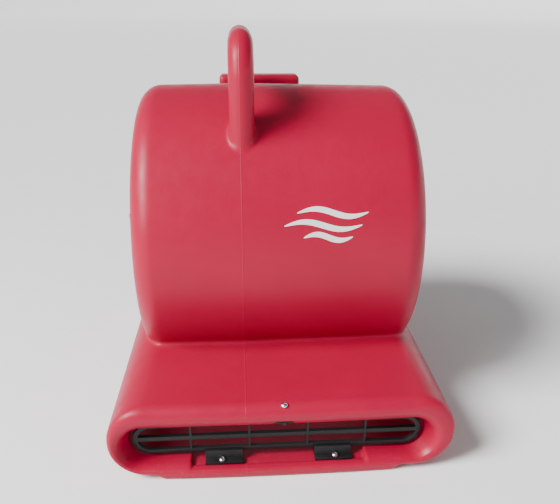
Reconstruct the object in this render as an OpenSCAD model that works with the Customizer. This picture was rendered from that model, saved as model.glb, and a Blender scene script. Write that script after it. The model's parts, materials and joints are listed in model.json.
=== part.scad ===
// Carpet air mover: a moulded scroll housing with a wide floor outlet, a loop handle and a
// switch box, holding a squirrel-cage impeller on the shaft of a three-speed motor.
// +Z is up, the outlet blows towards -Y, and the origin is on the floor under the middle.

/* [Housing] */
// Width of the drum across its flat sides
drum_width = 382; // [376:1:390]
// Radius of the drum over its front half
drum_radius = 204; // [200:1:206]
// Height of the drum's centre above the floor
drum_z = 240; // [236:1:244]
// Wall thickness of the moulded housing
wall = 4.5; // [3:0.5:6]
// Rounding where the drum meets its sides
rim_round = 28; // [20:1:40]
// Place of the mould's parting plane
parting_x = -49; // [-60:1:-40]

/* [Outlet] */
// Full width of the outlet
mouth_width = 435; // [430:1:440]
// Height of the outlet's upper lip
mouth_top = 105; // [100:1:110]
// Distance of the outlet's lip in front of the origin
mouth_front = 255; // [250:1:260]
// Distance of the grille behind the lip
grille_depth = 25; // [22:1:27]

/* [Handle] */
// Height of the top of the handle
handle_top = 523; // [515:1:530]
// Width of the handle's section
handle_w = 32; // [26:1:34]
// Depth of the handle's section
handle_d = 38; // [34:1:40]

/* [Fan] */
// Outer radius of the impeller
wheel_r = 125; // [115:1:130]
// Number of blades
blade_count = 40; // [24:2:48]
// Radius of the openings in both sides
side_hole_r = 116; // [112:1:117]
// Radius of the motor shaft
shaft_r = 7.5; // [7:0.5:8]

/* [Hidden] */
$fn = 72;

housing_red = [0.80, 0.10, 0.17];
plastic_black = [0.08, 0.08, 0.09];
steel = [0.72, 0.73, 0.75];

// The drum's outline is three arcs that grow from the outlet's tongue round to the floor.
drum_y = 48;
back_growth = 3;
floor_growth = 17;
half_w = drum_width / 2;
dome = 1;
flat_inset = 62;
draft = 0.0175;

// The fan's axis
fan_y = 36;
fan_z = 242;

// The outlet is a little to the left of the drum's middle, and its mouth is further left
outlet_x = -3;
mouth_x = -8.5;

// The outlet's shell
lip_y = -mouth_front;
nozzle_floor = 7;
skid_z = 1;
skid_half = 145;
opening_top = 75;
opening_floor = 20;
sill_z = 14.5;
well_floor = 12;
well_half = 110;
well_depth = 12;
grille_y = lip_y + grille_depth;
grille_t = 6;

// The switch box behind the handle
box_x0 = -80;
box_x1 = 48;
box_top = 445;
box_mid = (box_x0 + box_x1) / 2;
panel_y = 212;
panel_z = 420;
panel_w = 104;
panel_h = 60;
panel_t = 2.5;
knob_x = -22;
breaker_x = 26;

// Fasteners
screw_r = 2.2;
head_r = 4.5;
head_h = 3;
side_screws = 8;
side_screw_circle = 123;
flange_r = 128.5;
flange_t = 2;
guard_t = 2.5;

// The motor, measured along X
plate_out = -half_w - flange_t;
dish_r = 100;
dish_x = -146;
bell_t = 4;
bell_depth = 18;
shell_r = 70;
core_r = 66;
bore_r = 42;
core_x0 = -120;
core_x1 = -66;
front_x = -40;
ear_r = 75;
motor_screw_circle = 55;

// The impeller, measured along X
wheel_x0 = 14;
wheel_x1 = 140;
ring_t = 3;
blade_depth = 20;
blade_t = 1.4;

// Moves the machine across so that the middle of its outer box is over the origin
module centred() { translate([-outlet_x, 0, 0]) children(); }

module in_mouth() { translate([mouth_x, 0, 0]) children(); }

function arc(cx, cy, r, a0, a1, n) =
    [for (i = [0:n]) let (a = a0 + (a1 - a0) * i / n) [cx + r * cos(a), cy + r * sin(a)]];

// Turns a shape made about Z so that it lies about X, at the fan's axis
module on_fan_axis(x = 0) {
    translate([x, fan_y, fan_z]) rotate([0, 90, 0]) children();
}

// A tube about the fan's axis from x0 to x1
module tube(x0, x1, r_out, r_in) {
    on_fan_axis(x0) difference() {
        cylinder(h = x1 - x0, r = r_out);
        translate([0, 0, -1]) cylinder(h = x1 - x0 + 2, r = r_in);
    }
}

// Half of the drum's section: radius across, width up. inset shrinks it to the inner face.
function drum_profile(r, inset) =
    let (w = half_w - inset, rr = rim_round - inset, side = w - dome,
        r1 = r - inset - draft * abs(side - rr - parting_x),
        r0 = r - inset - draft * abs(-side + rr - parting_x))
    concat([[0, -w], [r - flat_inset, -w]],
        arc(r0 - rr, -side + rr, rr, -90, 0, 6),
        [[r - inset, parting_x]],
        arc(r1 - rr, side - rr, rr, 0, 90, 6),
        [[r - flat_inset, w], [0, w]]);

// One sector of the drum. The angle runs from straight down towards the back.
module drum_sector(cy, cz, r, from, sweep, inset) {
    translate([0, cy, cz]) rotate([0, 90, 0]) rotate([0, 0, from])
        rotate_extrude(angle = sweep) polygon(drum_profile(r, inset));
}

module drum(inset) {
    drum_sector(drum_y, drum_z, drum_radius, 180, 180, inset);
    drum_sector(drum_y, drum_z - back_growth, drum_radius + back_growth, 90, 90, inset);
    drum_sector(drum_y - floor_growth, drum_z - back_growth,
        drum_radius + back_growth + floor_growth, 0, 90, inset);
}

// A run of slots with round ends, each given as [y, half width, bottom, top], joined smoothly
module slot_loft(levels) {
    hull() for (l = levels, side = [-1, 1]) let (r = (l[3] - l[2]) / 2)
        translate([side * (l[1] - r), l[0], l[2] + r])
            rotate([-90, 0, 0]) cylinder(h = 0.01, r = r, $fn = 48);
}

module nozzle_outside() {
    w = mouth_width / 2;
    translate([outlet_x, 0, 0])
        slot_loft([[lip_y, w - 8, nozzle_floor + 9, mouth_top - 11],
            [lip_y + 5, w - 2, nozzle_floor + 3, mouth_top - 4],
            [lip_y + 16, w, nozzle_floor, mouth_top],
            [100, w - 5, nozzle_floor, mouth_top + 19],
            [150, w - 14, nozzle_floor, mouth_top + 7],
            [188, w - 38, nozzle_floor + 24, mouth_top - 10]]);
}

module nozzle_inside() {
    w = mouth_width / 2 - wall;
    translate([outlet_x, 0, 0])
        slot_loft([[lip_y + 33, w, nozzle_floor + wall, mouth_top - wall],
            [90, w - 6, nozzle_floor + wall, mouth_top + 19 - wall]]);
}

module mouth_opening() {
    slot_loft([[lip_y - 1, 203, opening_floor - 6, opening_top + 5],
        [lip_y + 8, 197, opening_floor - 3, opening_top],
        [lip_y + 36, 185, opening_floor, opening_top]]);
    translate([-well_half, lip_y - 1, sill_z]) cube([2 * well_half, 37, 15]);
    translate([-well_half, lip_y + well_depth, well_floor])
        cube([2 * well_half, 36 - well_depth, 15]);
}

// The moulded skid under the outlet, with sloping ends
module skid() {
    translate([0, -110, 0]) rotate([90, 0, 0]) linear_extrude(mouth_front - 1 - 110)
        polygon([[-skid_half - 9, nozzle_floor + 1], [-skid_half, skid_z], [skid_half, skid_z],
            [skid_half + 9, nozzle_floor + 1], [skid_half, 13], [-skid_half, 13]]);
}

// The handle's section: a slot of two circles and the square between them
module handle_section() {
    for (s = [-1, 1]) translate([s * (handle_d - handle_w) / 2, 0]) circle(handle_w / 2);
    square([handle_d - handle_w, handle_w], center = true);
}

handle_x = -47;
handle_front_y = -80;
handle_back_y = 106;
handle_bend = 36;
grip_z = handle_top - handle_d / 2;

module handle_leg(y, from) {
    translate([handle_x, y, from]) rotate([0, 0, 90])
        linear_extrude(grip_z - handle_bend - from) handle_section();
}

module handle_elbow(y, turn) {
    translate([handle_x, y, grip_z - handle_bend]) rotate([0, 0, turn]) rotate([90, 0, 0])
        rotate_extrude(angle = 90) translate([handle_bend, 0]) handle_section();
}

module handle() {
    handle_leg(handle_front_y, 370);
    handle_leg(handle_back_y, 425);
    handle_elbow(handle_front_y + handle_bend, -90);
    handle_elbow(handle_back_y - handle_bend, 90);
    translate([handle_x, handle_front_y + handle_bend, grip_z]) rotate([-90, 0, 0])
        linear_extrude(handle_back_y - handle_front_y - 2 * handle_bend)
            rotate([0, 0, 90]) handle_section();
}

// The side view of the switch box, as [y, z], from the drum's skin out to the panel
function box_side(inset) = inset == 0
    ? concat([[148, 400]], arc(154, box_top - 6, 6, 180, 90, 3),
        [[187, box_top], [238, 394], [238, 310]])
    : [[148 + inset, 419], [148 + inset, box_top - inset], [185, box_top - inset],
        [238 - inset, 392], [238 - inset, 337], [215, 365], [190, 393]];

module switch_box(inset) {
    translate([box_x0 + inset, 0, 0]) rotate([90, 0, 90])
        linear_extrude(box_x1 - box_x0 - 2 * inset) polygon(box_side(inset));
}

// Moves a shape to the sloping panel: local Z points out of it and local X stays across
module on_panel(x = 0, y = 0, z = 0) {
    translate([box_mid, panel_y, panel_z]) rotate([-45, 0, 0]) translate([x, y, z]) children();
}

module panel_window() {
    on_panel(0, 0, -8) translate([-(panel_w - 16) / 2, -(panel_h - 14) / 2, 0])
        cube([panel_w - 16, panel_h - 14, 16]);
}

module side_screw_places() {
    for (i = [0:side_screws - 1]) rotate([0, 0, (i + 0.5) * 360 / side_screws])
        translate([side_screw_circle, 0, 0]) children();
}

front_feet = [[mouth_x - 116, -215], [mouth_x + 116, -215]];
rear_feet = [[outlet_x - 130, 122], [outlet_x + 130, 122]];
foot_r = 16;
foot_recess = 4;
gland_z = 362;
gland_r = 8;
bracket_y = lip_y + 9;
bracket_half = 9;
bracket_t = 1.6;
pocket_top = opening_top + 7;
bracket_z = pocket_top - bracket_t - 0.1;
lip_seat_z = mouth_top - 2.4;

module housing() {
    color(housing_red) difference() {
        union() {
            drum(0);
            nozzle_outside();
            in_mouth() skid();
            handle();
            switch_box(0);
        }
        drum(wall);
        nozzle_inside();
        in_mouth() mouth_opening();
        switch_box(wall);
        panel_window();
        on_fan_axis(-half_w - 1) cylinder(h = drum_width + 2, r = side_hole_r);
        for (x = [-half_w - 1, half_w - wall - 1])
            on_fan_axis(x) side_screw_places() cylinder(h = wall + 2, r = screw_r + 0.1);
        for (p = front_feet) translate([p[0], p[1], -1])
            cylinder(h = skid_z + foot_recess + 1, r = foot_r + 0.5);
        for (p = concat(front_feet, rear_feet)) translate([p[0], p[1], 0])
            cylinder(h = 20, r = screw_r + 0.1);
        for (s = [-1, 1]) {
            in_mouth() translate([s * clip_screw_x, clip_screw_y, 5])
                cylinder(h = 10, r = screw_r + 0.1);
            for (v = [-1, 1]) on_panel(s * panel_screw_x, v * panel_screw_y, -10)
                cylinder(h = 12, r = 1.6);
        }
        translate([outlet_x, bracket_y, opening_top - 6]) cylinder(h = 40, r = screw_r + 0.3);
        translate([outlet_x - bracket_half - 2, bracket_y - 6, opening_top - 1])
            cube([2 * bracket_half + 4, 32, pocket_top - opening_top + 1]);
        translate([outlet_x, bracket_y, lip_seat_z]) cylinder(h = 5, r = head_r + 0.7);
        translate([box_mid, 228, gland_z]) rotate([-90, 0, 0]) cylinder(h = 20, r = gland_r + 0.2);
    }
}

clip_x0 = 46;
clip_x1 = 93;
clip_screw_x = 72;
clip_screw_y = grille_y - 8.3;
grille_half = 183;
grille_low = 24;
grille_high = 69;
rail = 6;

module grille_outline(inset) {
    r = (grille_high - grille_low) / 2 - inset;
    z = (grille_high + grille_low) / 2;
    for (s = [-1, 1]) translate([s * (grille_half - inset - r), z]) circle(r);
    translate([-(grille_half - inset - r), z - r]) square([2 * (grille_half - inset - r), 2 * r]);
}

module outlet_grille() {
    color(plastic_black) translate([mouth_x, grille_y + grille_t, 0]) rotate([90, 0, 0]) {
        linear_extrude(grille_t) difference() {
            grille_outline(0);
            grille_outline(rail);
        }
        linear_extrude(grille_t)
            translate([-grille_half + rail / 2, (grille_low + grille_high) / 2 - rail / 2])
                square([2 * grille_half - rail, rail]);
        for (x = [-111, -37, 37, 111]) translate([x - 1.5, grille_low + 2, 0])
            cube([3, grille_high - grille_low - 4, grille_t]);
    }
}

// A clamp with a ledge under the grille's lower rail and a flange in front of it
module grille_clip(side) {
    x = side > 0 ? clip_x0 : -clip_x1;
    color(plastic_black) in_mouth() difference() {
        union() {
            translate([x, grille_y - 12.6, well_floor]) cube([clip_x1 - clip_x0, 22, 5]);
            translate([x, grille_y - 4.2, well_floor]) cube([clip_x1 - clip_x0, 4, 16]);
            translate([x, grille_y - 1, well_floor])
                cube([clip_x1 - clip_x0, grille_t + 1, grille_low - 0.1 - well_floor]);
        }
        translate([side * clip_screw_x, clip_screw_y, 0]) cylinder(h = 40, r = screw_r + 0.2);
    }
}

module grille_clip_left() { grille_clip(-1); }

module grille_clip_right() { grille_clip(1); }

// A pan-head screw whose head sits on z = 0 and whose shank runs down
module pan_screw(length, r = screw_r, hr = head_r, hh = head_h) {
    difference() {
        union() {
            cylinder(h = hh * 0.6, r = hr);
            translate([0, 0, hh * 0.6]) cylinder(h = hh * 0.4, r1 = hr, r2 = hr * 0.7);
            translate([0, 0, -length]) cylinder(h = length + 0.1, r = r);
        }
        for (a = [0, 90]) rotate([0, 0, a])
            translate([-hr * 0.55, -hr * 0.1, hh * 0.5]) cube([hr * 1.1, hr * 0.2, hh]);
    }
}

module grille_clip_screws() {
    color(steel) in_mouth() for (s = [-1, 1])
        translate([s * clip_screw_x, clip_screw_y, well_floor + 5]) pan_screw(10, hr = 4);
}

// A strip under the lip that turns down behind the grille's upper rail and stops it moving back
module grille_bracket() {
    back = grille_y + grille_t + 0.1;
    color([0.12, 0.12, 0.12]) translate([outlet_x, 0, 0]) difference() {
        union() {
            translate([-bracket_half, bracket_y - 5.5, bracket_z])
                cube([2 * bracket_half, back + bracket_t - bracket_y + 5.5, bracket_t]);
            translate([-bracket_half, back, grille_high - 5])
                cube([2 * bracket_half, bracket_t, bracket_z - grille_high + 6]);
        }
        translate([0, bracket_y, bracket_z - 1]) cylinder(h = 4, r = screw_r + 0.2);
    }
}

module grille_bracket_screw() {
    color(steel) translate([outlet_x, bracket_y, lip_seat_z]) pan_screw(lip_seat_z - bracket_z + 5);
}

module grille_bracket_nut() {
    color([0.12, 0.12, 0.12]) translate([outlet_x, bracket_y, bracket_z - 4.1]) difference() {
        cylinder(h = 4, r = 4.6, $fn = 6);
        translate([0, 0, -1]) cylinder(h = 6, r = screw_r + 0.05);
    }
}

// The spun inlet, which leads the air from the side opening into the impeller
module inlet_ring() {
    throat_r = 98;
    bell = 14;
    color(steel) on_fan_axis() difference() {
        rotate_extrude() polygon(concat([[throat_r, wheel_x1 + 8], [throat_r, half_w - bell - 4]],
            arc(throat_r + bell, half_w - bell - 2, bell, 180, 90, 6),
            [[side_hole_r - 2, half_w], [flange_r, half_w],
            [flange_r, half_w + flange_t], [side_hole_r - 4, half_w + flange_t]],
            arc(throat_r + bell, half_w - bell - 2, bell + 2, 90, 180, 6),
            [[throat_r - 2, wheel_x1 + 8]]));
        translate([0, 0, half_w - 1]) side_screw_places() cylinder(h = 5, r = screw_r + 0.4);
    }
}

guard_rings = [24, 40, 56, 72, 88, 104];
guard_rise = 10;

// A moulded finger guard: a flange, domed spokes and rings that follow the dome
module side_guard() {
    difference() {
        cylinder(h = guard_t, r = flange_r);
        translate([0, 0, -1]) cylinder(h = guard_t + 2, r = 113);
        translate([0, 0, -1]) side_screw_places() cylinder(h = 5, r = screw_r + 0.4);
    }
    for (r = guard_rings) translate([0, 0, guard_height(r) - 4.5])
        rotate_extrude() translate([r - 1.25, 0]) square([2.5, 4.5]);
    translate([0, 0, guard_height(0) - 4.5]) cylinder(h = 4.5, r = 14);
    for (i = [0:11]) rotate([0, 0, i * 30]) rotate([90, 0, 0])
        translate([0, 0, -1.5]) linear_extrude(3)
            polygon([[10, guard_height(10) - 4], [88, guard_height(88) - 4], [114, 0], [117, 0],
                [117, guard_t], [104, guard_height(104)], [88, guard_height(88)],
                [56, guard_height(56)], [10, guard_height(10)]]);
}

// Height of the guard's outer face at a radius
function guard_height(r) = guard_rise + guard_t - 0.5 - (guard_rise - 1) * pow(r / 118, 3);

module intake_guard() {
    color(plastic_black) on_fan_axis(half_w + flange_t) side_guard();
}

module motor_guard() {
    color(plastic_black) mirror([1, 0, 0]) on_fan_axis(half_w + flange_t) side_guard();
}

module guard_screws() {
    on_fan_axis(half_w + flange_t + guard_t) side_screw_places() pan_screw(14);
}

module intake_guard_screws() { color(steel) guard_screws(); }

module motor_guard_screws() { color(steel) mirror([1, 0, 0]) guard_screws(); }

module motor_screw_places() {
    for (i = [0:3]) rotate([0, 0, 45 + 90 * i]) translate([motor_screw_circle, 0, 0]) children();
}

// The pressed steel dish that carries the motor
module motor_plate() {
    t = flange_t;
    color([0.35, 0.36, 0.38]) on_fan_axis() difference() {
        rotate_extrude() polygon([[20, dish_x - t], [dish_r - 2, dish_x - t], [dish_r - 2, plate_out],
            [flange_r, plate_out], [flange_r, plate_out + t], [dish_r, plate_out + t],
            [dish_r, dish_x], [20, dish_x]]);
        translate([0, 0, plate_out - 1]) side_screw_places() cylinder(h = 5, r = screw_r + 0.4);
        translate([0, 0, dish_x - 4]) motor_screw_places() cylinder(h = 8, r = 2.8);
        for (i = [0:7]) rotate([0, 0, 22.5 + 45 * i]) translate([82, -14, dish_x - 4]) cube([8, 28, 8]);
    }
}

module motor_mount_screws() {
    color(steel) on_fan_axis(dish_x - flange_t) motor_screw_places()
        rotate([180, 0, 0]) pan_screw(12, r = 2.5, hr = 4.8);
}

// An end bell of the motor about Z: a wall on z = 0, a rim, ears and a bearing pocket
module end_bell(screw_holes) {
    difference() {
        union() {
            cylinder(h = bell_t, r = shell_r);
            cylinder(h = bell_depth - 3, r = bearing_r + 5);
            difference() {
                cylinder(h = bell_depth, r = shell_r);
                translate([0, 0, bell_t]) cylinder(h = bell_depth, r = core_r);
            }
            for (i = [0:3]) rotate([0, 0, 90 * i]) translate([ear_r, 0, 0]) cylinder(h = 8, r = 6);
        }
        translate([0, 0, 3]) cylinder(h = bell_depth, r = bearing_r);
        translate([0, 0, -1]) cylinder(h = bell_depth, r = shaft_r + 2);
        for (i = [0:3]) rotate([0, 0, 90 * i]) translate([ear_r, 0, -1]) cylinder(h = 10, r = 2.6);
        if (screw_holes) translate([0, 0, -1]) motor_screw_places() cylinder(h = bell_t + 2, r = 2.6);
    }
}

bearing_r = 17.5;
bearing_w = 11;

module motor_bell_rear() {
    color("silver") on_fan_axis(dish_x) end_bell(true);
}

module motor_bell_front() {
    color("silver") on_fan_axis(front_x) rotate([180, 0, 0]) end_bell(false);
}

module motor_shell() {
    color([0.30, 0.31, 0.33]) tube(dish_x + bell_depth, front_x - bell_depth, shell_r, core_r);
}

module motor_tie_bolts() {
    color(steel) for (i = [0:3]) on_fan_axis(dish_x + 8 + 0.05) rotate([0, 0, 90 * i])
        translate([ear_r, 0, -8]) {
            cylinder(h = front_x - dish_x + 5, r = 2.5);
            translate([0, 0, front_x - dish_x]) cylinder(h = 3.5, r = 4.6, $fn = 6);
        }
}

module motor_tie_nuts() {
    color(steel) for (i = [0:3]) on_fan_axis(dish_x + 8) rotate([0, 0, 90 * i])
        translate([ear_r, 0, 0.1]) difference() {
            cylinder(h = 4, r = 4.6, $fn = 6);
            translate([0, 0, -1]) cylinder(h = 6, r = 2.55);
        }
}

slot_count = 24;
slot_in = 46;
slot_out = 60;

coil_end = 6.5;

// Bars that fill the slots, reaching past the core by an overhang at both ends
module stator_bars(grow, overhang) {
    for (i = [0:slot_count - 1]) rotate([0, 0, i * 360 / slot_count])
        translate([slot_in, -3 - grow, -overhang])
            cube([slot_out - slot_in, 6 + 2 * grow, core_x1 - core_x0 + 2 * overhang]);
}

module stator_core() {
    color([0.45, 0.46, 0.48]) on_fan_axis(core_x0) difference() {
        cylinder(h = core_x1 - core_x0, r = core_r);
        translate([0, 0, -1]) cylinder(h = core_x1 - core_x0 + 2, r = bore_r);
        stator_bars(0.2, 1);
    }
}

module stator_windings() {
    color([0.72, 0.38, 0.16]) on_fan_axis(core_x0) {
        stator_bars(0, coil_end / 2);
        for (z = [-coil_end, core_x1 - core_x0]) translate([0, 0, z]) difference() {
            cylinder(h = coil_end, r = slot_out + 1);
            translate([0, 0, -1]) cylinder(h = coil_end + 2, r = slot_in - 1);
        }
    }
}

module bearing(x) {
    color(steel) tube(x, x + bearing_w, bearing_r, shaft_r + 0.05);
}

module bearing_rear() { bearing(dish_x + 3); }

module bearing_front() { bearing(front_x - 3 - bearing_w); }

cap_x = -172;
cap_up = 52;
cap_r = 17;
cap_len = 62;

module capacitor() {
    color([0.86, 0.86, 0.84]) translate([cap_x, fan_y - cap_len / 2, fan_z + cap_up])
        rotate([-90, 0, 0]) {
            cylinder(h = cap_len, r = cap_r);
            for (s = [-1, 1]) translate([s * 6 - 3, -0.5, cap_len]) cube([6, 1, 9]);
        }
}

module capacitor_strap() {
    t = 1.5;
    w = 14;
    color(steel) translate([cap_x, fan_y - w / 2, fan_z + cap_up]) rotate([-90, 0, 0]) difference() {
        union() {
            cylinder(h = w, r = cap_r + t);
            translate([dish_x - flange_t - cap_x - t, -cap_r - 14, 0]) cube([t, 2 * cap_r + 14, w]);
            translate([0, -cap_r - t, 0]) cube([dish_x - flange_t - cap_x, t, w]);
        }
        translate([0, 0, -1]) cylinder(h = w + 2, r = cap_r + 0.05);
        translate([0, -cap_r - 8, w / 2]) rotate([0, 90, 0]) cylinder(h = 40, r = 2.3);
    }
}

block_down = 52;

module terminal_block() {
    x = dish_x - flange_t;
    color([0.88, 0.86, 0.78]) difference() {
        translate([x - 16, fan_y - 30, fan_z - block_down - 9]) cube([16, 60, 18]);
        for (i = [0:4]) translate([x - 17, fan_y - 22 + 11 * i, fan_z - block_down - 4])
            rotate([0, 90, 0]) cylinder(h = 9, r = 3);
        for (s = [-1, 1]) translate([x - 17, fan_y + s * 27.4, fan_z - block_down + 4])
            rotate([0, 90, 0]) cylinder(h = 20, r = 1.8);
    }
}

// The screws that hold the terminal block and the strap to the dish
module plate_screws() {
    x = dish_x - flange_t;
    color(steel) {
        for (s = [-1, 1]) translate([x - 16, fan_y + s * 27.4, fan_z - block_down + 4])
            rotate([0, -90, 0]) pan_screw(15.8, r = 1.6, hr = 2.4, hh = 2);
        translate([x - 1.5, fan_y, fan_z + cap_up + cap_r + 8])
            rotate([0, -90, 0]) pan_screw(1.4, hr = 4);
    }
}

panel_screw_x = 46;
panel_screw_y = 25;
switch_neck_r = 5;
breaker_neck_r = 7;

module switch_panel() {
    color(plastic_black) on_panel() difference() {
        translate([-panel_w / 2, -panel_h / 2, 0.1]) cube([panel_w, panel_h, panel_t]);
        translate([knob_x, 0, -1]) cylinder(h = 5, r = switch_neck_r + 0.2);
        translate([breaker_x, 0, -1]) cylinder(h = 5, r = breaker_neck_r + 0.2);
        for (u = [-1, 1], v = [-1, 1]) translate([u * panel_screw_x, v * panel_screw_y, -1])
            cylinder(h = 5, r = 1.8);
    }
}

module switch_panel_screws() {
    color(steel) for (u = [-1, 1], v = [-1, 1])
        on_panel(u * panel_screw_x, v * panel_screw_y, panel_t + 0.1)
            pan_screw(9, r = 1.5, hr = 3, hh = 2);
}

spindle_r = 3;

module speed_switch() {
    color([0.2, 0.2, 0.22]) on_panel(knob_x) difference() {
        union() {
            translate([-14, -14, -20]) cube([28, 28, 20]);
            cylinder(h = panel_t + 5, r = switch_neck_r);
        }
        translate([0, 0, -10]) cylinder(h = 30, r = spindle_r + 0.05);
        for (u = [-9, 0, 9]) translate([u - 2.4, -1, -21]) cube([4.8, 2, 4]);
    }
}

module speed_switch_nut() {
    color(steel) on_panel(knob_x, 0, panel_t + 0.1) difference() {
        cylinder(h = 2.6, r = 8, $fn = 6);
        translate([0, 0, -1]) cylinder(h = 5, r = switch_neck_r + 0.05);
    }
}

module switch_spindle() {
    color(steel) on_panel(knob_x, 0, -9.5) cylinder(h = 26, r = spindle_r);
}

// The speed knob: a skirted grip with a pointer rib, bored for the spindle and the nut
module speed_knob() {
    base = panel_t + 1;
    color(plastic_black) on_panel(knob_x, 0, base) difference() {
        union() {
            cylinder(h = 4, r = 17);
            translate([0, 0, 3.9]) cylinder(h = 13, r = 13.5);
            translate([-2, -16, 3.9]) cube([4, 16, 12]);
        }
        translate([0, 0, -1]) cylinder(h = 7, r = 9);
        translate([0, 0, -1]) cylinder(h = 14, r = spindle_r);
        for (i = [1:11]) rotate([0, 0, 30 * i - 90]) translate([15.5, 0, 5]) cylinder(h = 20, r = 3);
    }
}

button_r = 4;
button_travel = 3;

module breaker() {
    color([0.2, 0.2, 0.22]) on_panel(breaker_x) difference() {
        union() {
            translate([-8.5, -14, -28]) cube([17, 28, 28]);
            cylinder(h = panel_t + 6, r = breaker_neck_r);
        }
        translate([0, 0, -6]) cylinder(h = 30, r = button_r + 0.1);
    }
}

module breaker_nut() {
    color(steel) on_panel(breaker_x, 0, panel_t + 0.1) difference() {
        cylinder(h = 3, r = 10, $fn = 6);
        translate([0, 0, -1]) cylinder(h = 5, r = breaker_neck_r + 0.05);
    }
}

module reset_button() {
    color([0.75, 0.12, 0.10]) on_panel(breaker_x, 0, -6 + button_travel + 0.3)
        cylinder(h = panel_t + 6 + 6, r = button_r);
}

gland_bore = 5;
box_back = 238;

module along_gland(y) {
    translate([box_mid, y, gland_z]) rotate([-90, 0, 0]) children();
}

module cable_gland() {
    color([0.12, 0.12, 0.13]) along_gland(box_back - 12) difference() {
        union() {
            cylinder(h = 23, r = gland_r);
            translate([0, 0, 12]) cylinder(h = 5, r = 12.5, $fn = 6);
        }
        translate([0, 0, -1]) cylinder(h = 30, r = gland_bore);
    }
}

module cable_gland_cap() {
    color([0.12, 0.12, 0.13]) along_gland(box_back + 5.1) difference() {
        union() {
            cylinder(h = 7, r = 11.5, $fn = 6);
            translate([0, 0, 7]) cylinder(h = 3.8, r1 = 10, r2 = 7.5);
        }
        translate([0, 0, -1]) cylinder(h = 7.2, r = gland_r + 0.05);
        translate([0, 0, -1]) cylinder(h = 30, r = gland_bore);
    }
}

module cable_gland_locknut() {
    color([0.12, 0.12, 0.13]) along_gland(box_back - wall - 5) difference() {
        cylinder(h = 4.8, r = 11.5, $fn = 6);
        translate([0, 0, -1]) cylinder(h = 8, r = gland_r + 0.05);
    }
}

// A rubber foot whose sole is on the floor, with a countersunk well for its screw
module foot(place, height) {
    color([0.10, 0.10, 0.10]) translate([place[0], place[1], 0]) difference() {
        union() {
            cylinder(h = 2, r1 = foot_r - 1.5, r2 = foot_r);
            translate([0, 0, 2]) cylinder(h = height - 2, r = foot_r);
        }
        translate([0, 0, -1]) cylinder(h = 4, r = head_r + 0.5);
        translate([0, 0, -1]) cylinder(h = height + 2, r = screw_r + 0.2);
    }
}

module foot_front_left() { foot(front_feet[0], skid_z + foot_recess); }

module foot_front_right() { foot(front_feet[1], skid_z + foot_recess); }

module foot_rear_left() { foot(rear_feet[0], nozzle_floor); }

module foot_rear_right() { foot(rear_feet[1], nozzle_floor); }

module foot_screws() {
    color(steel) for (p = concat(front_feet, rear_feet))
        translate([p[0], p[1], 3]) rotate([180, 0, 0]) pan_screw(8, hh = 2.5);
}

module rotor_shaft() {
    color("silver") on_fan_axis(dish_x + 1) cylinder(h = 36 - dish_x - 1, r = shaft_r);
}

module rotor_core() {
    color([0.50, 0.51, 0.53]) tube(core_x0, core_x1, bore_r - 0.5, shaft_r);
}

module rotor_end_rings() {
    color("silver") {
        tube(core_x0 - 5, core_x0, bore_r - 1, 28);
        tube(core_x1, core_x1 + 5, bore_r - 1, 28);
    }
}

hub_r = 18;
hub_flange_r = 34;
rivet_circle = 27;

module impeller_hub() {
    color("silver") difference() {
        union() {
            tube(-4, 32, hub_r, shaft_r);
            tube(wheel_x0 - 7, wheel_x0 - 2, hub_flange_r, shaft_r);
        }
        on_fan_axis() rivet_places() cylinder(h = 60, r = 2.1, center = true);
        setscrew_place() cylinder(h = 30, r = 2.6);
    }
}

module rivet_places() {
    for (i = [0:5]) rotate([0, 0, 60 * i]) translate([rivet_circle, 0, 0]) children();
}

setscrew_x = 22;

module setscrew_place() {
    translate([setscrew_x, fan_y, fan_z]) children();
}

module impeller_backplate() {
    color([0.66, 0.67, 0.69]) difference() {
        tube(wheel_x0 - 2, wheel_x0, wheel_r, hub_r + 0.2);
        on_fan_axis() rivet_places() cylinder(h = 60, r = 2.1, center = true);
    }
}

module impeller_rivets() {
    color("silver") on_fan_axis(wheel_x0 - 9) rivet_places() {
        cylinder(h = 11, r = 2);
        cylinder(h = 2, r = 4);
        translate([0, 0, 9]) cylinder(h = 2, r = 4);
    }
}

module impeller_setscrew() {
    color([0.2, 0.2, 0.2]) setscrew_place() translate([0, 0, shaft_r])
        cylinder(h = hub_r - shaft_r + 1, r = 2.5);
}

blade_curve = 12.4;
blade_half_angle = 46;
blade_turn = 78;

// Forward-curved blades, each a thin arc from the inner to the outer edge of the wheel
module impeller_blades() {
    color([0.70, 0.71, 0.73]) on_fan_axis(wheel_x0) for (i = [0:blade_count - 1])
        rotate([0, 0, i * 360 / blade_count])
            translate([wheel_r - blade_depth / 2 - 1.5, 0, 0]) rotate([0, 0, blade_turn])
                translate([-0.4 * blade_depth, 0, 0]) linear_extrude(wheel_x1 - wheel_x0)
                    polygon(concat(
                        arc(0, 0, blade_curve, -blade_half_angle, blade_half_angle, 6),
                        arc(0, 0, blade_curve - blade_t, blade_half_angle, -blade_half_angle, 6)));
}

module impeller_ring() {
    color([0.66, 0.67, 0.69]) tube(wheel_x1, wheel_x1 + ring_t, wheel_r, wheel_r - blade_depth);
}

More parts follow.
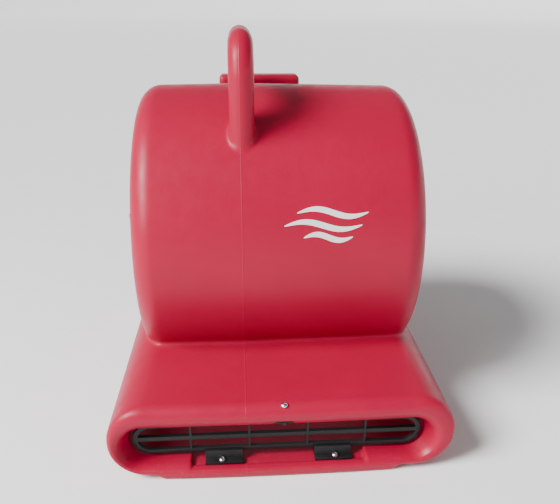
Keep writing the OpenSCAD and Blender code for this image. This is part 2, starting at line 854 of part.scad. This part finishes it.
centred() housing();
centred() outlet_grille();
centred() grille_clip_left();
centred() grille_clip_right();
centred() grille_clip_screws();
centred() grille_bracket();
centred() grille_bracket_screw();
centred() grille_bracket_nut();
centred() inlet_ring();
centred() intake_guard();
centred() intake_guard_screws();
centred() motor_plate();
centred() motor_guard();
centred() motor_guard_screws();
centred() motor_mount_screws();
centred() motor_shell();
centred() motor_bell_rear();
centred() motor_bell_front();
centred() motor_tie_bolts();
centred() motor_tie_nuts();
centred() stator_core();
centred() stator_windings();
centred() bearing_rear();
centred() bearing_front();
centred() capacitor();
centred() capacitor_strap();
centred() terminal_block();
centred() plate_screws();
centred() switch_panel();
centred() switch_panel_screws();
centred() speed_switch();
centred() speed_switch_nut();
centred() breaker();
centred() breaker_nut();
centred() cable_gland();
centred() cable_gland_cap();
centred() cable_gland_locknut();
centred() foot_front_left();
centred() foot_front_right();
centred() foot_rear_left();
centred() foot_rear_right();
centred() foot_screws();
centred() rotor_shaft();
centred() rotor_core();
centred() rotor_end_rings();
centred() impeller_hub();
centred() impeller_backplate();
centred() impeller_blades();
centred() impeller_ring();
centred() impeller_setscrew();
centred() impeller_rivets();
centred() speed_knob();
centred() switch_spindle();
centred() reset_button();
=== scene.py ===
"""Carpet air mover: the looks of the machine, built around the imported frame."""
import json
import math

import bmesh
import bpy
import numpy as np
import openvdb
from mathutils import Matrix, Vector


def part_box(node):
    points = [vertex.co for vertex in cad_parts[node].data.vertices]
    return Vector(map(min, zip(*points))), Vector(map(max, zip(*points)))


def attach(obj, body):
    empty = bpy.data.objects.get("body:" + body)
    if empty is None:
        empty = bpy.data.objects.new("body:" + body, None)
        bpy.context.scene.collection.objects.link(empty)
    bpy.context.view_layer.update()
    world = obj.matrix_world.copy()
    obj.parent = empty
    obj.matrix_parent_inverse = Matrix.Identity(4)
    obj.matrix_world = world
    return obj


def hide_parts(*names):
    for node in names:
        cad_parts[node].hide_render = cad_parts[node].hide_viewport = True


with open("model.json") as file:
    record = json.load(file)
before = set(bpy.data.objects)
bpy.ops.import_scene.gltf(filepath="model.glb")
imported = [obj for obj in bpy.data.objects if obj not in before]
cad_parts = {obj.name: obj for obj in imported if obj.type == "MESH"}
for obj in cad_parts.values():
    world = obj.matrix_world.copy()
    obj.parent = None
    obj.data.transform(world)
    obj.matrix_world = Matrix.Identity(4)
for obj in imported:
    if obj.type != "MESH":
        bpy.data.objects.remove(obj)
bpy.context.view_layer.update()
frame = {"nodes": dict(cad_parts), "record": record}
nodes = frame["nodes"]

MM = 0.001

# ---------------------------------------------------------------- driving sizes, in millimetres
housing_low, housing_high = (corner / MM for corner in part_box("housing"))
MOUTH_HALF = housing_high.x
LIP_Y = housing_low.y
HANDLE_TOP = housing_high.z
SKID_Z = housing_low.z
shaft_low, shaft_high = (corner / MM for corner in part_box("rotor_shaft"))
FAN_Y = (shaft_low.y + shaft_high.y) / 2
FAN_Z = (shaft_low.z + shaft_high.z) / 2

WALL = 4.5
DRUM_X, DRUM_Y, DRUM_Z, DRUM_R = 3, 48, 240, 204
BACK_GROWTH, FLOOR_GROWTH = 3, 17
RIM_HALF, DOME, RIM_ROUND = 190, 1, 28
DOME_START, DOME_FULL = 15, 62
PARTING_X, DRAFT = -46, 0.0175
SIDE_HOLE_R, SIDE_HOLE_ROUND, SIDE_HOLE_FROM = 116, 1.5, 170

MOUTH_X = -5.5
MOUTH_TOP, NOZZLE_FLOOR = 105, 7
NOZZLE_END, NOZZLE_END_ROUND = 188, 25
OPENING_TOP, OPENING_FLOOR, OPENING_DEPTH, SILL_Z = 75, 20, 40, 14.5
WELL_FLOOR, WELL_HALF, WELL_DEPTH = 12, 110, 12
SLAB_HALF = 15
DUCT_START = 33
POCKET_HALF, POCKET_MID_Y, POCKET_HALF_Y = 11, 19, 16
POCKET_MID_Z, POCKET_HALF_Z = 3, 4
LIP_BOW = 5
SKID_HALF, SKID_SPREAD, SKID_SLOPE_H = 145, 9, 7
SKID_BACK, SKID_TOP = -110, 13

HANDLE_X = -44
HANDLE_W, HANDLE_D, HANDLE_BEND = 32, 38, 36
HANDLE_FRONT, HANDLE_BACK = -80, 106
HANDLE_LOOP_HALF, HANDLE_FOOT_Z = 100, 360

BOX_LEFT, BOX_RIGHT, BOX_FRONT, BOX_BACK, BOX_TOP = -77, 51, 148, 238, 445
BOX_ROUND, BOX_FOOT_Z, BOX_FLOOR = 7, 300, 5
SLOPE_SUM = 632
PANEL_CENTRE = Vector(((BOX_LEFT + BOX_RIGHT) / 2, 212, 420))
PANEL_FACE = 2.6
WINDOW_HALF_W, WINDOW_HALF_H, WINDOW_REACH = 44, 23, 8
KNOB_SIDE, KNOB_TOP = 22, 20.4


# ---------------------------------------------------------------- distance fields
def round_and(a, b, r):
    """Where both fields are inside, with the outer edge between them rounded to radius r."""
    return np.minimum(np.maximum(a, b), -r) + np.hypot(np.maximum(a + r, 0), np.maximum(b + r, 0))


def round_or(a, b, r):
    """Where either field is inside, with a fillet of radius r in the inner corner."""
    return -round_and(-a, -b, r)


def smoothstep(low, high, v):
    """An even blend from 0 at low to 1 at high."""
    t = np.clip((v - low) / (high - low), 0, 1)
    return t * t * (3 - 2 * t)


def drum_field(x, y, z, inset=0):
    """Three tangent arcs that open from the tongue round to the floor, with domed sides."""
    front = np.hypot(y - DRUM_Y, z - DRUM_Z) - DRUM_R
    back = np.hypot(y - DRUM_Y, z - DRUM_Z + BACK_GROWTH) - DRUM_R - BACK_GROWTH
    floor_y = DRUM_Y - FLOOR_GROWTH
    floor = np.hypot(y - floor_y, z - DRUM_Z + BACK_GROWTH) - DRUM_R - BACK_GROWTH - FLOOR_GROWTH
    upper = np.where(y < DRUM_Y, front, back)
    lower = np.where(y < floor_y, front, floor)
    radial = np.where(z >= DRUM_Z - BACK_GROWTH, upper, lower)
    side = RIM_HALF + DOME * smoothstep(DOME_START, DOME_FULL, -radial)
    return round_and(radial + inset + DRAFT * np.abs(x - PARTING_X),
                     np.abs(x - DRUM_X) - side + inset, RIM_ROUND - inset)


def slot_field(x, z, half, low, high):
    """A flat slot with round ends, across X."""
    r = (high - low) / 2
    return np.hypot(np.maximum(np.abs(x) - half + r, 0), z - low - r) - r


def lip_plane(x):
    """The lip's front, which bows back a little towards the sides."""
    return LIP_Y + LIP_BOW * (x / MOUTH_HALF) ** 2


def nozzle_field(x, y, z, inset=0):
    """The outlet's flattened shell, which flares a little towards the lip."""
    ys = (LIP_Y + 16, 100, 150, NOZZLE_END)
    half = np.interp(y, ys, (MOUTH_HALF, MOUTH_HALF - 5, MOUTH_HALF - 14, MOUTH_HALF - 38)) - inset
    low = np.interp(y, ys, (NOZZLE_FLOOR, NOZZLE_FLOOR, NOZZLE_FLOOR, NOZZLE_FLOOR + 24)) + inset
    high = np.interp(y, ys, (MOUTH_TOP, MOUTH_TOP + 19, MOUTH_TOP + 7, MOUTH_TOP - 10)) - inset
    return round_and(slot_field(x, z, half, low, high), y - NOZZLE_END + inset, NOZZLE_END_ROUND)


def opening_field(x, y, z):
    """The mouth: a flared slot, a lowered sill across its middle and a well behind the sill."""
    depth = y - lip_plane(x)
    across = x - MOUTH_X
    half = np.interp(depth, (0, 8, 36), (203, 197, 185))
    low = np.interp(depth, (0, 8, 36), (14, 17, OPENING_FLOOR))
    high = np.interp(depth, (0, 8), (80, OPENING_TOP))
    slot = slot_field(across, z, half, low, high)
    sides = np.abs(across) - WELL_HALF
    sill = np.maximum(sides, np.abs(z - SILL_Z - SLAB_HALF) - SLAB_HALF)
    well = np.maximum(sides, np.abs(z - WELL_FLOOR - SLAB_HALF) - SLAB_HALF)
    well = np.maximum(well, WELL_DEPTH - depth)
    return np.maximum(round_or(slot, np.minimum(sill, well), 2), depth - OPENING_DEPTH)


def skid_field(x, y, z):
    """The shallow block under the lip, with sides that slope outwards as they rise."""
    half = SKID_HALF + SKID_SPREAD * np.clip((z - SKID_Z) / SKID_SLOPE_H, 0, 1)
    across = round_and(np.abs(x - MOUTH_X) - half, SKID_Z - z, 2)
    along = np.maximum(lip_plane(x) + 1 - y, y - SKID_BACK)
    return np.maximum(round_and(across, along, 3), z - SKID_TOP)


def handle_field(x, y, z):
    """A loop bent from one slot-shaped section, with its legs sunk into the drum."""
    grip_z = HANDLE_TOP - HANDLE_D / 2
    mid, half = (HANDLE_FRONT + HANDLE_BACK) / 2, (HANDLE_BACK - HANDLE_FRONT) / 2
    qy = np.abs(y - mid) - half + HANDLE_BEND
    qz = np.abs(z - grip_z + HANDLE_LOOP_HALF) - HANDLE_LOOP_HALF + HANDLE_BEND
    line = np.hypot(np.maximum(qy, 0), np.maximum(qz, 0)) + np.minimum(np.maximum(qy, qz), 0)
    line = np.abs(line - HANDLE_BEND)
    r = HANDLE_W / 2
    return np.hypot(np.maximum(line - HANDLE_D / 2 + r, 0), x - HANDLE_X) - r


def box_field(x, y, z, inset=0):
    """The switch box behind the handle, with its sloping back for the panel."""
    mid, half = (BOX_LEFT + BOX_RIGHT) / 2, (BOX_RIGHT - BOX_LEFT) / 2
    r = BOX_ROUND - inset
    side = round_and(BOX_FRONT - y, z - BOX_TOP, r)
    side = round_and(side, (y + z - SLOPE_SUM) / math.sqrt(2), r)
    side = round_and(side, y - BOX_BACK, r)
    return round_and(side + inset, np.abs(x - mid) - half + inset, r)


def housing_field(x, y, z):
    """The whole moulding: drum, outlet, skid, switch box and handle, hollowed and cut."""
    across = np.abs(x) / MOUTH_HALF
    upper = smoothstep(30, 60, z)
    drum = drum_field(x, y, z)
    nozzle = nozzle_field(x, y, z)
    outer_round = 5 + (11 - 8 * smoothstep(0.7, 1, across)) * upper
    nozzle = round_and(nozzle, lip_plane(x) - y, outer_round)
    nozzle = round_or(nozzle, skid_field(x, y, z), 2)
    body = round_or(drum, nozzle, 9 - 7 * smoothstep(165, 185, np.abs(x - DRUM_X)))
    box = np.maximum(box_field(x, y, z), BOX_FOOT_Z - z)
    body = round_or(body, box, 5)
    handle = np.maximum(handle_field(x, y, z), HANDLE_FOOT_Z - z)
    body = round_or(body, handle, 4)
    inner_round = 2 + (12 - 9 * smoothstep(0.7, 1, across)) * upper
    body = round_and(body, -opening_field(x, y, z), inner_round)
    pocket = np.maximum(np.abs(x) - POCKET_HALF, np.abs(y - LIP_Y - POCKET_MID_Y) - POCKET_HALF_Y)
    pocket = np.maximum(pocket, np.abs(z - OPENING_TOP - POCKET_MID_Z) - POCKET_HALF_Z)
    body = np.maximum(body, -pocket)
    duct = np.maximum(nozzle_field(x, y, z, WALL), LIP_Y + DUCT_START - y)
    inside = np.minimum(drum_field(x, y, z, WALL), duct)
    body = np.maximum(body, -inside)
    hole = np.hypot(y - FAN_Y, z - FAN_Z) - SIDE_HOLE_R
    hole = np.maximum(hole, SIDE_HOLE_FROM - np.abs(x))
    body = round_and(body, -hole, SIDE_HOLE_ROUND)
    hollow = np.maximum(box_field(x, y, z, WALL), BOX_FLOOR - drum)
    hollow = np.maximum(hollow, BOX_FOOT_Z - z)
    along = (y - PANEL_CENTRE.y - z + PANEL_CENTRE.z) / math.sqrt(2)
    out = (y + z - SLOPE_SUM) / math.sqrt(2)
    window = np.maximum(np.abs(x - PANEL_CENTRE.x) - WINDOW_HALF_W, np.abs(along) - WINDOW_HALF_H)
    window = np.maximum(window, np.abs(out) - WINDOW_REACH)
    return np.maximum(body, -np.minimum(hollow, window))


def skin(name, field, low, high, step):
    """A closed quad mesh on the zero of a distance field.

    Its points are drawn onto the zero and kept inside the CAD housing's box.
    """
    axes = [np.arange(lo, hi + step, step, dtype=np.float32) for lo, hi in zip(low, high)]
    x, y, z = np.meshgrid(*axes, indexing="ij", sparse=True)
    values = np.broadcast_to(field(x, y, z), [len(a) for a in axes])
    grid = openvdb.FloatGrid(3 * step)
    grid.copyFromArray(np.ascontiguousarray(np.clip(values, -3 * step, 3 * step), np.float32))
    points, quads = grid.convertToQuads(0.0)
    points = points.astype(np.float64) * step + np.array(low)
    probe = 0.05
    for _ in range(3):
        value = field(*points.T)
        slope = np.stack([(field(*(points + probe * e).T) - field(*(points - probe * e).T))
                          / (2 * probe) for e in np.eye(3)], axis=1)
        move = value[:, None] * slope / np.maximum((slope ** 2).sum(1), 0.25)[:, None]
        reach = np.linalg.norm(move, axis=1, keepdims=True)
        points -= move * np.minimum(1, 0.6 * step / np.maximum(reach, 1e-9))
    points = np.clip(points, housing_low, housing_high)
    mesh = bpy.data.meshes.new(name)
    mesh.from_pydata((points * MM).tolist(), [], quads[:, ::-1].tolist())
    mesh.validate()
    mesh.shade_smooth()
    return link_object(name, mesh)


def link_object(name, data):
    piece = bpy.data.objects.new(name, data)
    bpy.context.scene.collection.objects.link(piece)
    return piece


# ---------------------------------------------------------------- materials
for imported in list(bpy.data.materials):
    imported.name = "cad_" + imported.name


class Surface:
    """A principled material with a broad colour change, fine grain in relief and a set roughness."""

    def __init__(self, name, colour, roughness, metallic=0.0, grain=900, grain_mm=0.03, mottle=0.08,
                 mottle_scale=16):
        self.material = bpy.data.materials.new(name)
        self.material.use_nodes = True
        self.tree = self.material.node_tree
        self.shader = self.tree.nodes["Principled BSDF"]
        self.shader.inputs["Metallic"].default_value = metallic
        self.place = self.node("ShaderNodeTexCoord").outputs["Object"]
        fine = self.noise(grain, 3)
        broad = self.noise(mottle_scale, 5)
        dark = [c * (1 - mottle) for c in colour]
        pale = [min(1, c * (1 + mottle)) for c in colour]
        self.colour = self.mix(self.spread(broad, 0.3, 0.7, 0, 1), dark, pale)
        self.roughness = self.spread(self.noise(60, 6), 0.3, 0.7, roughness - 0.05, roughness + 0.05)
        self.height = self.scaled(fine, grain_mm * MM)

    def node(self, kind, **settings):
        made = self.tree.nodes.new(kind)
        for key, value in settings.items():
            setattr(made, key, value)
        return made

    def wire(self, value, socket):
        """Sets a socket to a plain value, or joins it to another node's output."""
        if isinstance(value, bpy.types.NodeSocket):
            self.tree.links.new(value, socket)
        else:
            socket.default_value = value

    def noise(self, scale, detail, place=None):
        made = self.node("ShaderNodeTexNoise")
        self.wire(place or self.place, made.inputs["Vector"])
        self.wire(scale, made.inputs["Scale"])
        self.wire(detail, made.inputs["Detail"])
        return made.outputs["Fac"]

    def math(self, operation, a, b=0.0):
        made = self.node("ShaderNodeMath", operation=operation)
        self.wire(a, made.inputs[0])
        self.wire(b, made.inputs[1])
        return made.outputs[0]

    def scaled(self, value, factor):
        return self.math("MULTIPLY", value, factor)

    def spread(self, value, low, high, to_low, to_high):
        made = self.node("ShaderNodeMapRange")
        for socket, amount in zip(made.inputs, (value, low, high, to_low, to_high)):
            self.wire(amount, socket)
        return made.outputs[0]

    def mix(self, factor, a, b):
        made = self.node("ShaderNodeMix", data_type="RGBA")
        self.wire(factor, made.inputs["Factor"])
        for socket, colour in zip((made.inputs[6], made.inputs[7]), (a, b)):
            self.wire(colour if isinstance(colour, bpy.types.NodeSocket) else (*colour, 1), socket)
        return made.outputs[2]

    def raise_by(self, value, millimetres):
        self.height = self.math("ADD", self.height, self.scaled(value, millimetres * MM))

    def tint(self, factor, colour):
        self.colour = self.mix(factor, self.colour, colour)

    def from_point(self, point):
        """Coordinates measured from a point given in millimetres."""
        made = self.node("ShaderNodeVectorMath", operation="SUBTRACT")
        self.wire(self.place, made.inputs[0])
        self.wire(tuple(c * MM for c in point), made.inputs[1])
        return made.outputs[0]

    def bands(self, period_mm, place=None, rings=False):
        """Even ridges across X, or rings round the X axis."""
        made = self.node("ShaderNodeTexWave", wave_type="RINGS" if rings else "BANDS")
        made.rings_direction = made.bands_direction = "X"
        self.wire(place or self.place, made.inputs["Vector"])
        self.wire(math.pi / 10 / (period_mm * MM), made.inputs["Scale"])
        return made.outputs["Fac"]

    def cells(self, scale):
        made = self.node("ShaderNodeTexVoronoi")
        self.wire(self.place, made.inputs["Vector"])
        self.wire(scale, made.inputs["Scale"])
        return made.outputs

    def axis(self, index):
        made = self.node("ShaderNodeSeparateXYZ")
        self.wire(self.place, made.inputs[0])
        return made.outputs[index]

    def finish(self):
        bump = self.node("ShaderNodeBump")
        self.wire(self.height, bump.inputs["Height"])
        self.wire(1.0, bump.inputs["Distance"])
        self.wire(bump.outputs[0], self.shader.inputs["Normal"])
        self.wire(self.colour, self.shader.inputs["Base Color"])
        self.wire(self.roughness, self.shader.inputs["Roughness"])
        return self.material


def red_polyethylene():
    """Moulded plastic with a fine orange peel, a parting line and scuffs low down."""
    surface = Surface("red_polyethylene", (0.34, 0.0018, 0.030), 0.40, grain=420, grain_mm=0.05,
                      mottle=0.05, mottle_scale=9)
    surface.raise_by(surface.noise(90, 2), 0.10)
    from_line = surface.math("ABSOLUTE", surface.math("SUBTRACT", surface.axis(0), PARTING_X * MM))
    line = surface.spread(from_line, 0.0002, 0.0011, 1, 0)
    surface.raise_by(line, 0.16)
    surface.tint(surface.scaled(line, 0.25), (0.42, 0.012, 0.035))
    low = surface.spread(surface.axis(2), 0.0, 0.035, 1, 0)
    scuff = surface.spread(surface.noise(220, 8), 0.6, 0.72, 0, 0.15)
    surface.tint(surface.math("MULTIPLY", low, scuff), (0.62, 0.20, 0.22))
    surface.shader.inputs["Specular IOR Level"].default_value = 0.24
    return surface.finish()


def black_plastic():
    surface = Surface("black_plastic", (0.012, 0.012, 0.013), 0.46, mottle=0.2)
    surface.raise_by(surface.cells(1500)["Distance"], 0.05)
    surface.shader.inputs["Specular IOR Level"].default_value = 0.28
    return surface.finish()


def switch_plastic():
    return Surface("switch_plastic", (0.045, 0.045, 0.05), 0.55, grain=1400, mottle=0.15).finish()


def zinc_steel():
    """Bright zinc plate with a faint yellow cast in patches."""
    surface = Surface("zinc_steel", (0.62, 0.63, 0.64), 0.28, 1.0, grain=1600, grain_mm=0.008)
    surface.tint(surface.spread(surface.noise(45, 4), 0.5, 0.75, 0, 0.4), (0.66, 0.60, 0.46))
    return surface.finish()


def black_paint():
    surface = Surface("black_paint", (0.022, 0.023, 0.025), 0.36, grain=500, grain_mm=0.04, mottle=0.2)
    surface.tint(surface.spread(surface.noise(700, 5), 0.68, 0.74, 0, 0.5), (0.12, 0.12, 0.12))
    return surface.finish()


def cast_aluminium():
    surface = Surface("cast_aluminium", (0.50, 0.51, 0.53), 0.48, 1.0, grain=600, grain_mm=0.09,
                      mottle=0.12, mottle_scale=50)
    surface.raise_by(surface.cells(420)["Distance"], 0.08)
    return surface.finish()


def lamination_steel():
    """A stack of stampings, seen as fine ridges along the axle."""
    surface = Surface("lamination_steel", (0.33, 0.33, 0.35), 0.42, 1.0, grain=900, mottle=0.15)
    ridges = surface.bands(1.3)
    surface.raise_by(ridges, 0.1)
    surface.tint(surface.scaled(ridges, 0.5), (0.16, 0.15, 0.15))
    return surface.finish()


def copper_winding():
    """Enamelled wire laid in rings, with lacquer that darkens it in patches."""
    surface = Surface("copper_winding", (0.62, 0.27, 0.10), 0.30, 0.9, grain=500, mottle=0.15)
    wires = surface.bands(1.2, surface.from_point((DRUM_X, FAN_Y, FAN_Z)), rings=True)
    surface.raise_by(wires, 0.25)
    surface.tint(surface.spread(surface.noise(80, 4), 0.45, 0.7, 0, 0.6), (0.30, 0.11, 0.04))
    return surface.finish()


def bearing_steel():
    surface = Surface("bearing_steel", (0.68, 0.69, 0.70), 0.18, 1.0, grain=1500, grain_mm=0.004,
                      mottle=0.05)
    turned = surface.bands(0.9, surface.from_point((DRUM_X, FAN_Y, FAN_Z)), rings=True)
    surface.raise_by(turned, 0.012)
    return surface.finish()


def galvanised_sheet():
    """Zinc spangle: crystals of slightly different brightness."""
    surface = Surface("galvanised_sheet", (0.52, 0.53, 0.55), 0.38, 1.0, grain=900, grain_mm=0.01)
    crystal = surface.node("ShaderNodeSeparateColor")
    surface.wire(surface.cells(170)["Color"], crystal.inputs[0])
    surface.tint(surface.scaled(crystal.outputs[0], 0.45), (0.72, 0.74, 0.77))
    return surface.finish()


def black_oxide():
    return Surface("black_oxide", (0.03, 0.03, 0.032), 0.40, 0.8, grain=1200, mottle=0.3).finish()


def white_plastic():
    return Surface("white_plastic", (0.78, 0.78, 0.75), 0.45, grain=1100, mottle=0.04).finish()


def black_rubber():
    surface = Surface("black_rubber", (0.018, 0.018, 0.018), 0.78, grain=700, grain_mm=0.06, mottle=0.3)
    surface.tint(surface.spread(surface.noise(300, 6), 0.55, 0.75, 0, 0.5), (0.10, 0.095, 0.09))
    return surface.finish()


def red_button():
    return Surface("red_button", (0.55, 0.012, 0.010), 0.24, grain=1000, grain_mm=0.01).finish()


MATERIALS = {made.name: made for made in (
    red_polyethylene(), black_plastic(), switch_plastic(), zinc_steel(), black_paint(),
    cast_aluminium(), lamination_steel(), copper_winding(), bearing_steel(), galvanised_sheet(),
    black_oxide(), white_plastic(), black_rubber(), red_button())}


# ---------------------------------------------------------------- pieces
def claim(piece, body, slot_name, *replaced):
    """Gives a piece its material and slot, fixes it to its body and hides the nodes it stands for."""
    piece.data.materials.clear()
    piece.data.materials.append(MATERIALS[slot_name])
    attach(piece, body)
    if replaced:
        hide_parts(*replaced)


BEVEL_OVER, SHARP_OVER = 32, 38


def soften(name, width_mm, segments=2, body="machine", slot_name=None):
    """A CAD node's mesh as a new piece, with its sharp edges rounded off."""
    mesh = nodes[name].data.copy()
    mesh.transform(nodes[name].matrix_world)
    shape = bmesh.new()
    shape.from_mesh(mesh)
    bmesh.ops.remove_doubles(shape, verts=shape.verts, dist=0.002 * MM)
    bmesh.ops.dissolve_limit(shape, angle_limit=math.radians(1), verts=shape.verts,
                             edges=shape.edges)
    sharp = [edge for edge in shape.edges
             if edge.is_manifold and edge.calc_face_angle() > math.radians(BEVEL_OVER)]
    bmesh.ops.bevel(shape, geom=sharp, offset=width_mm * MM, offset_type="OFFSET", segments=segments,
                    profile=0.5, affect="EDGES", clamp_overlap=True)
    bmesh.ops.recalc_face_normals(shape, faces=shape.faces)
    shape.to_mesh(mesh)
    shape.free()
    mesh.shade_smooth()
    mesh.set_sharp_from_angle(angle=math.radians(SHARP_OVER))
    piece = link_object(name + "_finished", mesh)
    claim(piece, body, slot_name or slots[name], name)
    return piece


slots = {part["node"]: part["material_slot"] for part in frame["record"]["subparts"]}
bodies = {name: body for body, names in frame["record"]["behaviour"]["bodies"].items()
          for name in names}

QUICK_STEP, FULL_STEP = 4.0, 3.0
step = FULL_STEP
housing = skin("housing_shell", housing_field, (-222, -264, -6), (222, 264, 534), step)
claim(housing, "machine", "red_polyethylene", "housing")

DEFAULT_EDGE_MM = 0.35
EDGE_MM = {"outlet_grille": 1.6, "grille_clip_left": 1.0, "grille_clip_right": 1.0,
           "intake_guard": 0.6, "motor_guard": 0.6, "switch_panel": 0.9, "speed_knob": 0.7,
           "foot_front_left": 1.0, "foot_front_right": 1.0, "foot_rear_left": 1.0,
           "foot_rear_right": 1.0, "impeller_blades": 0.2, "stator_core": 0.2,
           "motor_bell_rear": 0.8, "motor_bell_front": 0.8, "capacitor": 0.8,
           "terminal_block": 0.8, "impeller_hub": 0.6}
for name in nodes:
    if name != "housing":
        soften(name, EDGE_MM.get(name, DEFAULT_EDGE_MM), body=bodies[name])


# ---------------------------------------------------------------- printed marks
HALF_ROOT = math.sqrt(0.5)
PANEL = Matrix(((-1, 0, 0), (0, -HALF_ROOT, HALF_ROOT), (0, HALF_ROOT, HALF_ROOT))).transposed()


def on_panel(right, up, out):
    """A point on the sloping panel, seen from behind the machine, in metres."""
    offset = Vector((-right, (out - up) * HALF_ROOT, (out + up) * HALF_ROOT))
    return (PANEL_CENTRE + offset) * MM


def ribbon(name, upper, lower, to_surface, depth, body, slot_name):
    """A closed strip between two lines of points, which stands depth out of a surface and as far in."""
    shape = bmesh.new()
    rows = [[shape.verts.new(to_surface(u, v, lift)) for u, v in line]
            for line, lift in ((upper, depth), (lower, depth), (lower, -depth), (upper, -depth))]
    count = len(upper)
    for k in range(4):
        near, far = rows[k], rows[(k + 1) % 4]
        for i in range(count - 1):
            shape.faces.new((near[i], near[i + 1], far[i + 1], far[i]))
    for i in (0, count - 1):
        shape.faces.new([row[i] for row in rows])
    bmesh.ops.recalc_face_normals(shape, faces=shape.faces)
    mesh = bpy.data.meshes.new(name)
    shape.to_mesh(mesh)
    shape.free()
    piece = link_object(name, mesh)
    claim(piece, body, slot_name)
    return piece


def on_drum(x, rise, lift):
    """A point on the front of the drum, rise being measured along its curve from its middle height."""
    r = DRUM_R - DRAFT * abs(x - PARTING_X) + lift
    turn = rise / DRUM_R
    return Vector((x, DRUM_Y - r * math.cos(turn), DRUM_Z + r * math.sin(turn))) * MM


def breeze_stroke(number, x0, x1, rise, swell):
    """One wavy stroke that tapers at both ends."""
    upper, lower = [], []
    for i in range(41):
        t = i / 40
        x = x0 + (x1 - x0) * t
        middle = rise + swell * math.sin(2 * math.pi * t)
        half = 0.4 + 3.6 * math.sin(math.pi * t) ** 0.7
        upper.append((x, middle + half))
        lower.append((x, middle - half))
    return ribbon(f"breeze_mark_{number}", upper, lower, on_drum, 0.25, "machine", "white_plastic")


breeze_stroke(1, 22, 112, 74, 5)
breeze_stroke(2, 6, 104, 58, 5)
breeze_stroke(3, 30, 92, 43, 4)


DIAL_R, DIAL_STEP, DIAL_POSITIONS = 22.8, 45, 4


def dial_number(digit, degrees):
    """A number beside the knob, at an angle measured clockwise from the top."""
    turn = math.radians(degrees)
    text = bpy.data.curves.new(f"dial_{digit}", "FONT")
    text.body = str(digit)
    text.size = 6.5 * MM
    text.extrude = 0.08 * MM
    text.align_x = text.align_y = "CENTER"
    flat = link_object(f"dial_text_{digit}", text)
    bpy.context.view_layer.update()
    mesh = bpy.data.meshes.new_from_object(flat)
    bpy.data.objects.remove(flat)
    right = KNOB_SIDE + DIAL_R * math.sin(turn)
    place = on_panel(right, DIAL_R * math.cos(turn), PANEL_FACE + 0.06)
    mesh.transform(Matrix.Translation(place) @ PANEL.to_4x4())
    claim(link_object(f"dial_number_{digit}", mesh), "machine", "white_plastic")


for digit in range(DIAL_POSITIONS):
    dial_number(digit, DIAL_STEP * digit)


def knob_pointer():
    """The white line on the top of the knob, in line with its rib."""
    line = [(KNOB_SIDE, 2.5 + 10 * i / 8) for i in range(9)]

    def on_knob(right, up, lift):
        return on_panel(right, up, KNOB_TOP + lift)

    ribbon("knob_pointer", [(r - 0.7, u) for r, u in line], [(r + 0.7, u) for r, u in line], on_knob,
           0.12, "knob", "white_plastic")


knob_pointer()


# ---------------------------------------------------------------- stage, light and camera
def make_floor():
    """A wide sheet whose rim curls up all round, so that no horizon shows."""
    flat_r, curl_r = 20, 8
    profile = [(reach, 0) for reach in (0.5, 2, 6, 12, flat_r)]
    profile += [(flat_r + curl_r * math.sin(t), curl_r - curl_r * math.cos(t))
                for t in np.linspace(0.1, math.pi / 2, 12)]
    turns = np.linspace(0, 2 * math.pi, 96, endpoint=False)
    points = [(r * math.cos(t), r * math.sin(t), z) for r, z in profile for t in turns]
    count = len(turns)
    faces = [tuple(range(count))]
    for k in range(len(profile) - 1):
        for i in range(count):
            j = (i + 1) % count
            faces.append((k * count + j, k * count + i, (k + 1) * count + i, (k + 1) * count + j))
    mesh = bpy.data.meshes.new("floor")
    mesh.from_pydata(points, [], faces)
    mesh.shade_smooth()
    floor = link_object("floor", mesh)
    paper = Surface("floor_paper", (0.93, 0.93, 0.93), 0.9, grain=200, grain_mm=0.05, mottle=0.01)
    mesh.materials.append(paper.finish())


def add_sun(name, place, strength, spread):
    """Even light from the direction of a point, with soft shadows."""
    light = bpy.data.lights.new(name, "SUN")
    light.energy = strength
    light.angle = math.radians(spread)
    lamp = link_object(name, light)
    lamp.location = place
    lamp.rotation_euler = (-Vector(place)).to_track_quat("-Z", "Y").to_euler()


def add_panel_light(name, place, aim, size, power):
    """A square soft light of a given width, turned towards a point."""
    light = bpy.data.lights.new(name, "AREA")
    light.energy = power
    light.size = size
    lamp = link_object(name, light)
    lamp.location = place
    lamp.rotation_euler = (Vector(aim) - Vector(place)).to_track_quat("-Z", "Y").to_euler()


def make_camera():
    """The viewpoint fitted to the object's outline: turned a little right and tilted down."""
    pan, tilt, roll = (math.radians(a) for a in (4.07, 22.62, 0.37))
    forward = Vector((math.sin(pan) * math.cos(tilt), math.cos(pan) * math.cos(tilt),
                      -math.sin(tilt)))
    level = Vector((math.cos(pan), -math.sin(pan), 0))
    upright = level.cross(forward)
    right = level * math.cos(roll) + upright * math.sin(roll)
    up = upright * math.cos(roll) - level * math.sin(roll)
    data = bpy.data.cameras.new("camera")
    data.lens, data.sensor_width = 38.76, 36
    camera = link_object("camera", data)
    turn = Matrix((right, up, -forward)).transposed().to_4x4()
    camera.matrix_world = Matrix.Translation((-0.0491, -0.8462, 0.5548)) @ turn
    bpy.context.scene.camera = camera


def make_world():
    """An even white surround that fills the shadows."""
    world = bpy.data.worlds.new("studio")
    world.use_nodes = True
    background = world.node_tree.nodes["Background"]
    background.inputs["Color"].default_value = (1, 1, 1, 1)
    background.inputs["Strength"].default_value = 0.26
    bpy.context.scene.world = world


make_floor()
make_world()
add_sun("key", (-2.0, -0.75, 1.9), 5.8, 24)
add_panel_light("side", (-0.95, -0.80, 0.80), (0, 0, 0.25), 0.45, 13)
# A weak lamp inside the outlet stands for the light that comes through the moulded walls.
add_panel_light("duct", (-0.005, -0.05, 0.095), (-0.005, -0.05, 0), 0.3, 0.12)
make_camera()
